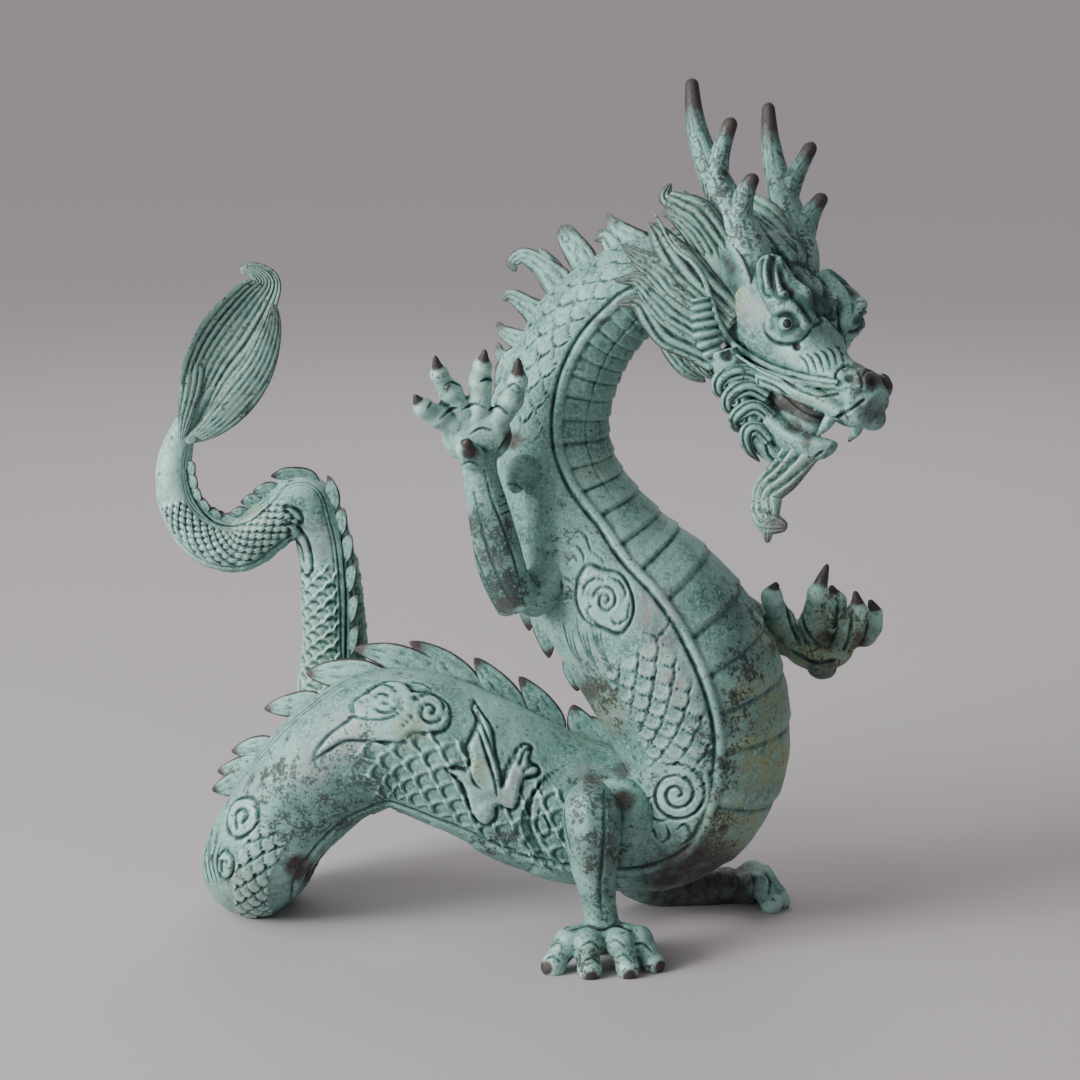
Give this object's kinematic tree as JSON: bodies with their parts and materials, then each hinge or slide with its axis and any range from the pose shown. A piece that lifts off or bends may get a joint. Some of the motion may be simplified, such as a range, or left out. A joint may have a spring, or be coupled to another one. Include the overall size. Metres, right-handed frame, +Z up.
{
  "type": "dragon sculpture",
  "caption": "Cast bronze dragon with a verdigris finish, rearing on one hind foot with its tail curled up behind, for a shelf or table.",
  "frame": {"origin": "on the ground, under the middle of the sculpture's box", "axes": "+Z up, +X the way the head looks, -Y the side shown in the picture"},
  "size_m": [0.241, 0.113, 0.2788],
  "materials": {
    "verdigris_bronze": "matt green and brown patina over cast bronze"
  },
  "bodies": {
    "root": {"dragon": "verdigris_bronze"}
  },
  "joints": []
}
